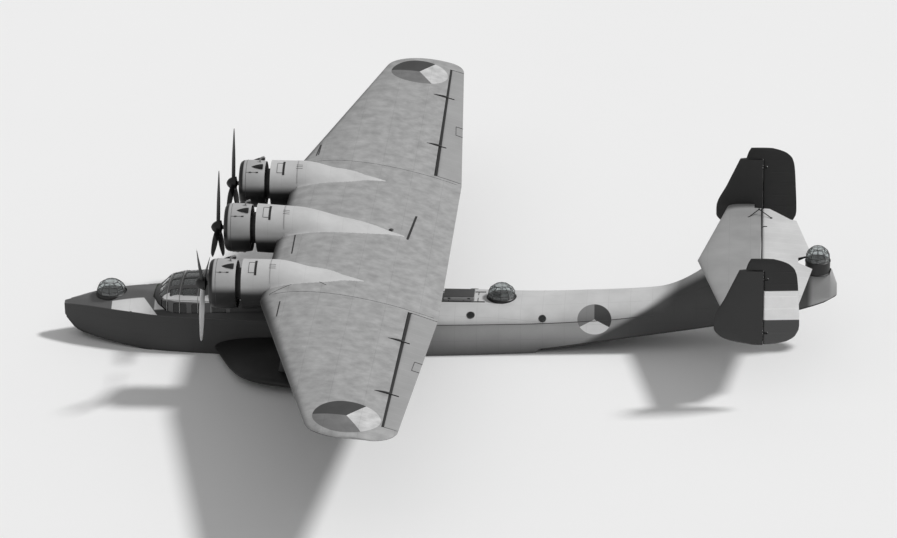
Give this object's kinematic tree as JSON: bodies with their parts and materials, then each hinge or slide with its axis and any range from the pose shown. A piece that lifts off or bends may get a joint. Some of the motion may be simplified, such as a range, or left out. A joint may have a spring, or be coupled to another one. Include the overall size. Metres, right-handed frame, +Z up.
{
  "type": "three-engined flying boat",
  "caption": "Parasol-wing flying boat with a stepped hull, stub sponsons, radial engines on the wing and twin fins.",
  "frame": {"origin": "on the centre plane at the waterline, below the wing's leading edge third", "axes": "+X to the bow, +Y to port, +Z up"},
  "size_m": [22.05, 27, 5.724],
  "materials": {
    "hull paint": "semi-matt marine enamel over aluminium sheet",
    "wing paint": "semi-matt enamel over aluminium skin",
    "control fabric": "doped and painted linen over ribs",
    "tail paint": "semi-matt enamel over aluminium skin",
    "fin paint": "dark semi-matt enamel",
    "nacelle paint": "semi-matt enamel over aluminium sheet",
    "cowl paint": "semi-matt enamel over spun aluminium",
    "engine metal": "cast and machined, oil darkened",
    "propeller paint": "dark enamel on forged alloy blades",
    "sponson paint": "dark semi-matt enamel",
    "strut paint": "semi-matt enamel on streamlined steel tube",
    "turret paint": "dark semi-matt enamel",
    "canopy paint": "semi-matt enamel on pressed frames",
    "glazing": "clear acrylic sheet",
    "seat cloth": "woven cloth over padding",
    "panel black": "crackle black paint",
    "bare metal": "drawn steel tube"
  },
  "bodies": {
    "airframe": {"hull_bow": "hull paint", "hull_main": "hull paint", "canopy_frame": "canopy paint", "canopy_glass": "glazing", "cabin_fairing": "hull paint", "instrument_panel": "panel black", "seat_port": "seat cloth", "seat_starboard": "seat cloth", "control_column_port": "bare metal", "control_column_starboard": "bare metal", "sponson_port": "sponson paint", "sponson_starboard": "sponson paint", "sponson_strut_front_port": "strut paint", "sponson_strut_rear_port": "strut paint", "sponson_strut_front_starboard": "strut paint", "sponson_strut_rear_starboard": "strut paint", "cabane_port": "strut paint", "cabane_starboard": "strut paint", "wing_centre": "wing paint", "wing_port": "wing paint", "wing_starboard": "wing paint", "nacelle_port": "nacelle paint", "nacelle_middle": "nacelle paint", "nacelle_starboard": "nacelle paint", "cowl_port": "cowl paint", "cowl_middle": "cowl paint", "cowl_starboard": "cowl paint", "engine_port": "engine metal", "engine_middle": "engine metal", "engine_starboard": "engine metal", "tailplane": "tail paint", "tail_strut_port": "tail paint", "tail_strut_starboard": "tail paint", "fin_port": "fin paint", "fin_starboard": "fin paint", "deck_locker": "hull paint", "bow_rod": "bare metal"},
    "propeller_port": {"propeller_port": "propeller paint"},
    "propeller_middle": {"propeller_middle": "propeller paint"},
    "propeller_starboard": {"propeller_starboard": "propeller paint"},
    "aileron_port": {"aileron_port": "control fabric"},
    "aileron_starboard": {"aileron_starboard": "control fabric"},
    "elevator": {"elevator": "control fabric"},
    "rudder_port": {"rudder_port": "control fabric"},
    "rudder_starboard": {"rudder_starboard": "control fabric"},
    "turret_nose": {"turret_ring_nose": "turret paint", "turret_dome_nose": "glazing"},
    "turret_dorsal": {"turret_ring_dorsal": "turret paint", "turret_dome_dorsal": "glazing"},
    "turret_tail": {"turret_ring_tail": "turret paint", "turret_dome_tail": "glazing"}
  },
  "joints": [
    {"name": "propeller_port_spin", "type": "hinge", "parent": "airframe", "child": "propeller_port", "pos_m": [4.28, 3.61, 3.2], "axis": [1, 0, 0], "continuous": true},
    {"name": "propeller_middle_spin", "type": "hinge", "parent": "airframe", "child": "propeller_middle", "pos_m": [4.28, 0, 3.34], "axis": [1, 0, 0], "continuous": true},
    {"name": "propeller_starboard_spin", "type": "hinge", "parent": "airframe", "child": "propeller_starboard", "pos_m": [4.28, -3.61, 3.2], "axis": [1, 0, 0], "continuous": true},
    {"name": "aileron_port_hinge", "type": "hinge", "parent": "airframe", "child": "aileron_port", "pos_m": [-1.63, 4.92, 2.8339], "axis": [0.0154, 0.9984, 0.0547], "range_deg": [-20, 20]},
    {"name": "aileron_starboard_hinge", "type": "hinge", "parent": "airframe", "child": "aileron_starboard", "pos_m": [-1.63, -4.92, 2.8339], "axis": [-0.0154, 0.9984, -0.0547], "range_deg": [-20, 20]},
    {"name": "elevator_hinge", "type": "hinge", "parent": "airframe", "child": "elevator", "pos_m": [-11.22, 0, 2.5], "axis": [0, 1, 0], "range_deg": [-20, 20]},
    {"name": "rudder_port_hinge", "type": "hinge", "parent": "airframe", "child": "rudder_port", "pos_m": [-11.22, 4.03, 3], "axis": [0, 0, 1], "range_deg": [-25, 25]},
    {"name": "rudder_starboard_hinge", "type": "hinge", "parent": "airframe", "child": "rudder_starboard", "pos_m": [-11.22, -4.03, 3], "axis": [0, 0, 1], "range_deg": [-25, 25]},
    {"name": "turret_nose_traverse", "type": "hinge", "parent": "airframe", "child": "turret_nose", "pos_m": [7.44, 0, 1.2], "axis": [0, 0, 1], "continuous": true},
    {"name": "turret_dorsal_traverse", "type": "hinge", "parent": "airframe", "child": "turret_dorsal", "pos_m": [-3.76, 0, 1.22], "axis": [0, 0, 1], "continuous": true},
    {"name": "turret_tail_traverse", "type": "hinge", "parent": "airframe", "child": "turret_tail", "pos_m": [-12.7, 0, 2.2], "axis": [0, 0, 1], "range_deg": [-70, 70]}
  ],
  "couplings": [
    {"joint": "aileron_starboard_hinge", "follows": "aileron_port_hinge", "ratio": -1},
    {"joint": "rudder_starboard_hinge", "follows": "rudder_port_hinge", "ratio": 1}
  ]
}
